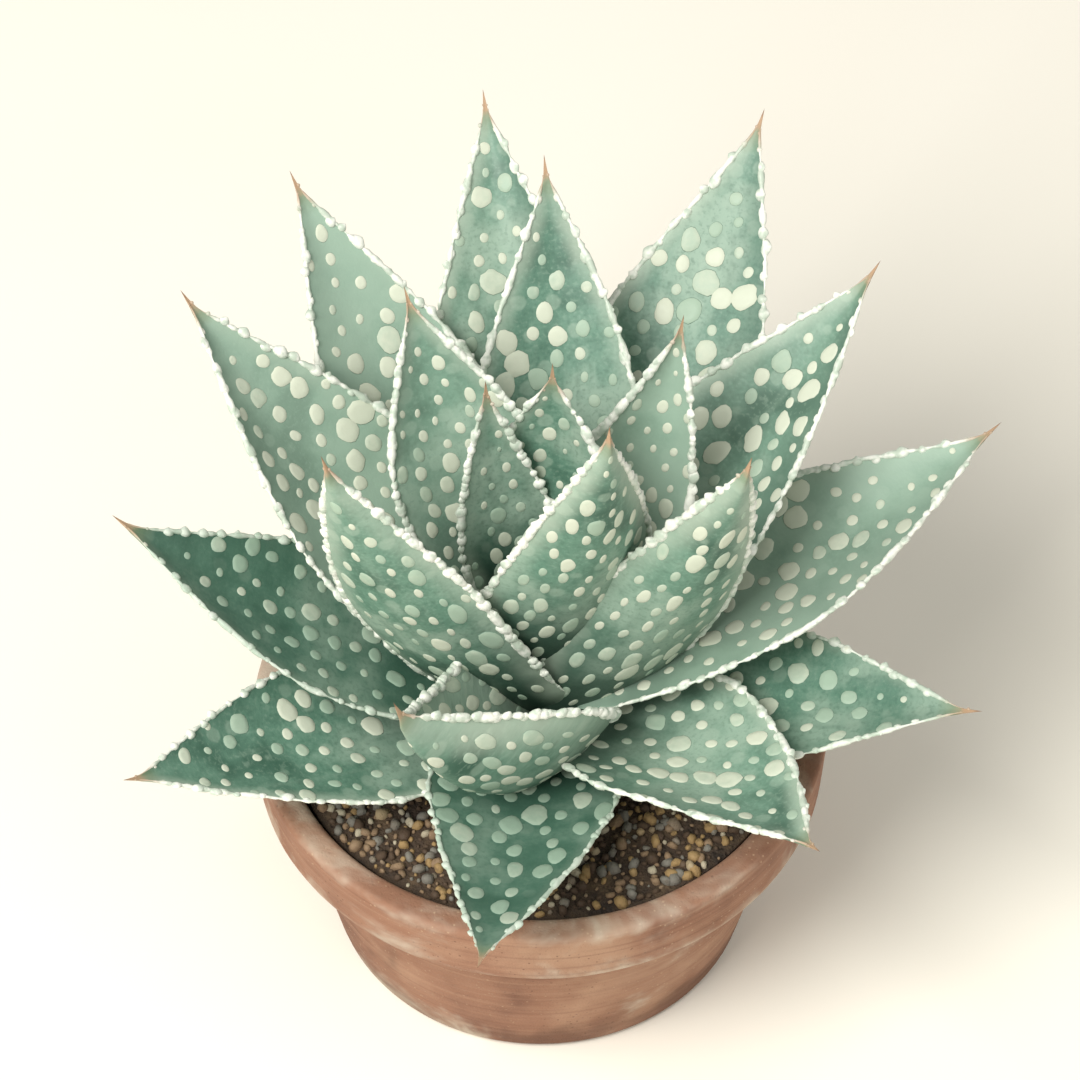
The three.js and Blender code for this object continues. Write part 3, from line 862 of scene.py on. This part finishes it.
def buildClayMaterial():
    material, tree, shader = newMaterial("weatheredClay", IOR=1.5)
    tone = clayTones
    place = objectPlace(tree)
    height = split(place)[2]
    washed = wash(tree, place, scale=26.0, spread=0.2, lean=0.5, dark=tone["dark"],
                  middle=tone["middle"], light=tone["light"])
    rings = noise(joined(tree, 0.0, 0.0, height) + place * 0.02, 700.0, 2.0, 0.6)
    dots = step(tree, "ShaderNodeTexVoronoi", {"Vector": place, "Scale": 620.0})
    dots = ease(dots + noise(place, 1500.0) * 0.2, 0.3, 0.2)
    patchy = ease(noise(place, 60.0, 3.0), 0.4, 0.62)
    foot = ease(height, 0.001, 0.016, 1.0, 0.0)
    collar = ease(size(height - 0.047), 0.001, 0.010, 1.0, 0.0)
    rim = ease(height, 0.060, 0.0648)
    cloudy = noise(place, 42.0, 3.0, 0.65, 0.3)
    damp = ease(cloudy + foot * 0.34, 0.56, 0.84, 0.0, 0.55)
    drift = noise(place + (0.3, 0.1, 0.7), 34.0, 4.0, 0.68, 0.4)
    bloom = ease(drift + foot * 0.1 + collar * 0.12 + rim * 0.12, 0.55, 0.8, 0.0, 0.75)
    colour = layered(
        tree, washed["Colour"], (ease(rings, 0.5, 0.7, 0.0, 0.3), tone["light"]),
        (ease(rings, 0.48, 0.3, 0.0, 0.3), tone["dark"]), (dots * patchy * 0.6, tone["grog"]),
        (dots * (1.0 - patchy) * 0.5, tone["sand"]), (damp, tone["damp"]),
        (bloom, tone["bloom"]))
    feed(tree, shader.inputs["Base Color"], colour)
    feed(tree, shader.inputs["Roughness"], ease(cloudy, 0.3, 0.7, 0.8, 0.95))
    fine = grain(tree, place, 1500.0, 800.0, 0.4)
    bump(tree, shader, fine["Height"] + bloom * 0.5 + rings * 0.6, 0.25 * mm, 0.6)
    return material


def buildPanTree():
    tree, field, end = newTree("GeometryNodeTree", "thrownPan", {"Profile": None, **panDetail},
                               {"Geometry": "NodeSocketGeometry"})
    wall = turnedFrom(tree, field)
    drill = step(tree, "GeometryNodeMeshCylinder", {
        "Vertices": 40, "Radius": field["Drain Radius"] * mm, "Depth": 30.0 * mm})
    ring = step(tree, "GeometryNodeMeshCircle", {
        "Vertices": 3, "Radius": field["Drain Circle"] * mm})
    turn = step(tree, "FunctionNodeEulerToRotation", {
        "Euler": joined(tree, 0.0, 0.0, radians(field["Drain Turn"]))})
    ring = step(tree, "GeometryNodeTransform", {"Geometry": ring, "Rotation": turn})
    drills = step(tree, "GeometryNodeRealizeInstances", {"Geometry": step(
        tree, "GeometryNodeInstanceOnPoints", {"Points": ring, "Instance": drill})})
    wall = step(tree, "GeometryNodeMeshBoolean", {"Mesh 1": wall, "Mesh 2": drills},
                operation="DIFFERENCE", solver="EXACT")
    return finished(tree, end, wall, field["Clay"])


panDetail = {
    "Sides": 144, "Ridge Pitch": 3.1, "Ridge Height": 0.09, "Wave Height": 0.3,
    "Wave Size": 34.0, "Lowest": 1.5, "Drain Radius": pan["drainRadius"],
    "Drain Circle": pan["drainCircle"], "Drain Turn": pan["drainTurn"], "Seed": 4,
    "Clay": buildClayMaterial(),
}
panProfile = softProfile([
    (0.0, 0.0, 0), (pan["footRadius"], 0.0, 0.8),
    (pan["footRadius"] + pan["footEdge"], pan["footEdge"], 0.8),
    (pan["wallUnderCollar"], pan["collarBottom"], 0.7),
    (pan["collarRadius"], pan["collarBottom"], 1.6),
    (pan["rimRadius"], pan["height"], 2.2), (pan["mouthRadius"], pan["height"], 2.2),
    (pan["floorRadius"], pan["floorThickness"], 4.0), (0.0, pan["floorThickness"], 0)])
clayPan = runTree(buildPanTree(), "thrownClayPan", panDetail, profileMesh("panProfile", panProfile))
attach(clayPan, "root")
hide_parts("pot")
print("thrownClayPan", len(clayPan.data.polygons), "faces")

soil = {"atWall": 61.5, "halfway": 62.6, "atStem": 64.6, "wallGap": 0.7}
soilTones = palette(dark="2A2019", middle="423428", light="5C4B39", ochre="9C8055",
                    tan="8C745A", grey="78746B", cream="B3A992", umber="4E3D2E")


def buildSoilMaterial():
    material, tree, shader = newMaterial("pottingSoil")
    tone = soilTones
    place = objectPlace(tree)
    washed = wash(tree, place, scale=160.0, spread=0.16, lean=0.5, dark=tone["dark"],
                  middle=tone["middle"], light=tone["light"])
    feed(tree, shader.inputs["Base Color"], washed["Colour"])
    feed(tree, shader.inputs["Roughness"], ease(washed["Mask"], 0.3, 0.7, 0.8, 1.0))
    fine = grain(tree, place, 900.0, 500.0, 0.6)
    bump(tree, shader, fine["Height"], 0.8 * mm, 0.9)
    return material


def buildStoneMaterial():
    material, tree, shader = newMaterial("mixedGrit")
    tone = soilTones
    place = objectPlace(tree)
    kind = meshValue(tree, "gritTone")
    mottle = noise(place, 700.0, 4.0, 0.65)
    colour = layered(
        tree, tone["umber"], (ease(kind, 0.24, 0.30), tone["tan"]),
        (ease(kind, 0.50, 0.56), tone["grey"]), (ease(kind, 0.70, 0.74), tone["ochre"]),
        (ease(kind, 0.90, 0.93), tone["cream"]),
        (ease(mottle, 0.5, 0.72, 0.0, 0.5), tone["light"]))
    feed(tree, shader.inputs["Base Color"], colour)
    feed(tree, shader.inputs["Roughness"], ease(mottle, 0.3, 0.7, 0.65, 0.92))
    fine = grain(tree, place, 2200.0, 1400.0, 0.4)
    bump(tree, shader, fine["Height"], 0.2 * mm, 0.7)
    return material


gritDetail = {
    "Sides": 120, "Ridge Pitch": 9.0, "Ridge Height": 0.0, "Wave Height": 1.1, "Wave Size": 9.0,
    "Lowest": soil["atWall"] - 1.6, "Seed": 12, "Stone Gap": 1.55, "Stone Size": 1.2,
    "Clear Radius": stem["baseRadius"] + 1.5, "Reach": pan["mouthRadius"] - 2.2,
    "Soil": buildSoilMaterial(), "Stone": buildStoneMaterial(),
}


def buildSoilTree():
    tree, field, end = newTree("GeometryNodeTree", "gritBed", {"Profile": None, **gritDetail},
                               {"Geometry": "NodeSocketGeometry"})
    seed = field["Seed"]
    bed = turnedFrom(tree, field)
    here = step(tree, "GeometryNodeInputPosition")
    x, y, z = split(here)
    far = maths(tree, "LENGTH", joined(tree, x, y, 0.0))
    onTop = maths(tree, "GREATER_THAN", z, (soil["atWall"] - 1.2) * mm)
    onTop = onTop * maths(tree, "GREATER_THAN", far, field["Clear Radius"] * mm)
    onTop = onTop * maths(tree, "LESS_THAN", far, field["Reach"] * mm)
    gap = field["Stone Gap"] * mm
    points = scatterOn(tree, bed, gap, 3.0, onTop, seed)[0]
    points = store(tree, points, "gritTone", chance(tree, 0.0, 1.0, seed + 1))
    luck = chance(tree, 0.0, 1.0, seed + 2)
    girth = field["Stone Size"] * mm * (luck * luck * 1.1 + 0.45)
    points = store(tree, points, "stoneCentre", here)
    tumble = joined(tree, chance(tree, 0.0, 6.28, seed + 3), chance(tree, 0.0, 6.28, seed + 4),
                    chance(tree, 0.0, 6.28, seed + 5))
    tumble = step(tree, "FunctionNodeEulerToRotation", {"Euler": tumble})
    block = step(tree, "GeometryNodeMeshCube", {
        "Size": (2.0, 2.0, 2.0), "Vertices X": 3, "Vertices Y": 3, "Vertices Z": 3})
    block = move(tree, block, unit(here) * 0.75 + here * 0.25)
    stones = step(tree, "GeometryNodeInstanceOnPoints", {
        "Points": points, "Instance": block, "Rotation": tumble,
        "Scale": joined(tree, girth, girth * chance(tree, 0.6, 1.0, seed + 6),
                        girth * chance(tree, 0.5, 0.85, seed + 7))})
    stones = step(tree, "GeometryNodeRealizeInstances", {"Geometry": stones})
    centre = stored(tree, "stoneCentre", True)
    chipped = noise(here, 620.0, 1.0) * 0.9 + 0.55
    stones = move(tree, stones, centre + (here - centre) * chipped)
    stones = coated(tree, stones, field["Stone"])
    bed = coated(tree, bed, field["Soil"])
    return finished(tree, end, joinAll(tree, [bed, stones]))


def insideRadius(height):
    share = (height - pan["floorThickness"]) / (pan["height"] - pan["floorThickness"])
    return pan["floorRadius"] + (pan["mouthRadius"] - pan["floorRadius"]) * share


soilProfile = softProfile([
    (0.0, pan["floorThickness"] + 0.4, 0),
    (pan["floorRadius"] - 3.0, pan["floorThickness"] + 0.4, 1.0),
    (insideRadius(12.0) - soil["wallGap"], 12.0, 1.0),
    (insideRadius(soil["atWall"]) - soil["wallGap"], soil["atWall"], 0.6),
    ((pan["mouthRadius"] + stem["baseRadius"]) / 2, soil["halfway"], 6.0),
    (stem["baseRadius"], soil["atStem"], 1.0), (0.0, soil["atStem"], 0)])
soilBed = runTree(buildSoilTree(), "grittySoil", gritDetail,
                  profileMesh("soilProfile", soilProfile))
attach(soilBed, "root")
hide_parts("soil")
print("grittySoil", len(soilBed.data.polygons), "faces")


def buildStemMaterial():
    material, tree, shader = newMaterial("scarredStem")
    place = objectPlace(tree)
    height = split(place)[2]
    washed = wash(tree, place, scale=90.0, spread=0.2, lean=0.5, dark=hexColour("54492F"),
                  middle=hexColour("7E8159"), light=hexColour("A9AC80"))
    scars = noise(joined(tree, 0.0, 0.0, height) + place * 0.15, 420.0, 3.0, 0.6)
    colour = mixColour(tree, ease(scars, 0.5, 0.66, 0.0, 0.8), washed["Colour"],
                       hexColour("6B4F33"))
    feed(tree, shader.inputs["Roughness"], ease(scars, 0.3, 0.7, 0.6, 0.85))
    young = ease(height + (scars - 0.5) * 0.02, 0.088, 0.104)
    budTone = mixColour(tree, washed["Mask"], hexColour("4F7361"), hexColour("86A08C"))
    colour = mixColour(tree, young, colour, budTone)
    feed(tree, shader.inputs["Base Color"], colour)
    fine = grain(tree, place, 1400.0, 700.0, 0.4)
    bump(tree, shader, fine["Height"] + scars, 0.4 * mm, 0.7)
    return material


def buildStemTree():
    tree, field, end = newTree("GeometryNodeTree", "ringedStem", {"Profile": None, **barkDetail},
                               {"Geometry": "NodeSocketGeometry"})
    return finished(tree, end, turnedFrom(tree, field), field["Bark"])


barkDetail = {
    "Sides": 48, "Ridge Pitch": 3.6, "Ridge Height": 0.35, "Wave Height": 0.5, "Wave Size": 7.0,
    "Lowest": 56.0, "Seed": 21, "Bark": buildStemMaterial(),
}
stemProfile = softProfile([
    (0.0, stem["foot"], 0), (stem["baseRadius"] - 3.0, stem["foot"], 1.0),
    (stem["baseRadius"] - 0.4, stem["foot"] + 3.0, 1.5),
    (stem["baseRadius"] - 0.4, stem["base"], 3.0),
    (stem["topRadius"], stem["top"] - 1.0, 1.5), (0.0, stem["top"] + 1.0, 0)], 0.6)
plantStem = runTree(buildStemTree(), "ringedStem", barkDetail,
                    profileMesh("stemProfile", stemProfile))
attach(plantStem, "root")
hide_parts("stem")
print("ringedStem", len(plantStem.data.polygons), "faces")

floorMaterial, tree, shader = newMaterial("paleFloor", Roughness=0.85)
tint = wash(tree, objectPlace(tree), scale=2.2, spread=0.3, lean=0.5,
            dark=hexColour("F3EEDF"), middle=hexColour("F8F4E8"), light=hexColour("FBF8EF"))
feed(tree, shader.inputs["Base Color"], tint["Colour"])
bpy.ops.mesh.primitive_plane_add(size=6.0)
floor = bpy.context.object
floor.name = "paleFloor"
floor.data.materials.append(floorMaterial)

world = bpy.data.worlds.new("softRoom")
bpy.context.scene.world = world
world.use_nodes = True
world.node_tree.nodes["Background"].inputs["Color"].default_value = (1.0, 0.985, 0.95, 1.0)
world.node_tree.nodes["Background"].inputs["Strength"].default_value = 0.4

lights = {  # metres, watts
    "keyLight": {"at": (-0.62, -0.62, 1.1), "size": 0.8, "power": 22.5},
    "fillLight": {"at": (0.9, -0.5, 0.9), "size": 1.4, "power": 4.5},
}
for name, light in lights.items():
    lamp = bpy.data.lights.new(name, "AREA")
    lamp.size = light["size"]
    lamp.energy = light["power"]
    lamp.color = (1.0, 0.98, 0.94)
    holder = bpy.data.objects.new(name, lamp)
    bpy.context.scene.collection.objects.link(holder)
    holder.location = light["at"]
    aim = Vector((0.0, 0.0, 0.08)) - holder.location
    holder.rotation_euler = aim.to_track_quat("-Z", "Y").to_euler()

view = {"elevation": 50.0, "target": (0.0, 0.020, 0.100), "distance": 1.3363, "lens": 200.0}
camera = bpy.data.objects.new("pictureView", bpy.data.cameras.new("pictureView"))
camera.data.lens = view["lens"]
camera.data.sensor_width = 36.0
tilt = math.radians(view["elevation"])
toPlant = Vector((0.0, math.cos(tilt), -math.sin(tilt)))
camera.location = Vector(view["target"]) - toPlant * view["distance"]
camera.rotation_euler = (math.pi / 2 - tilt, 0.0, 0.0)
bpy.context.scene.collection.objects.link(camera)
bpy.context.scene.camera = camera
bpy.context.scene.view_settings.view_transform = "Standard"
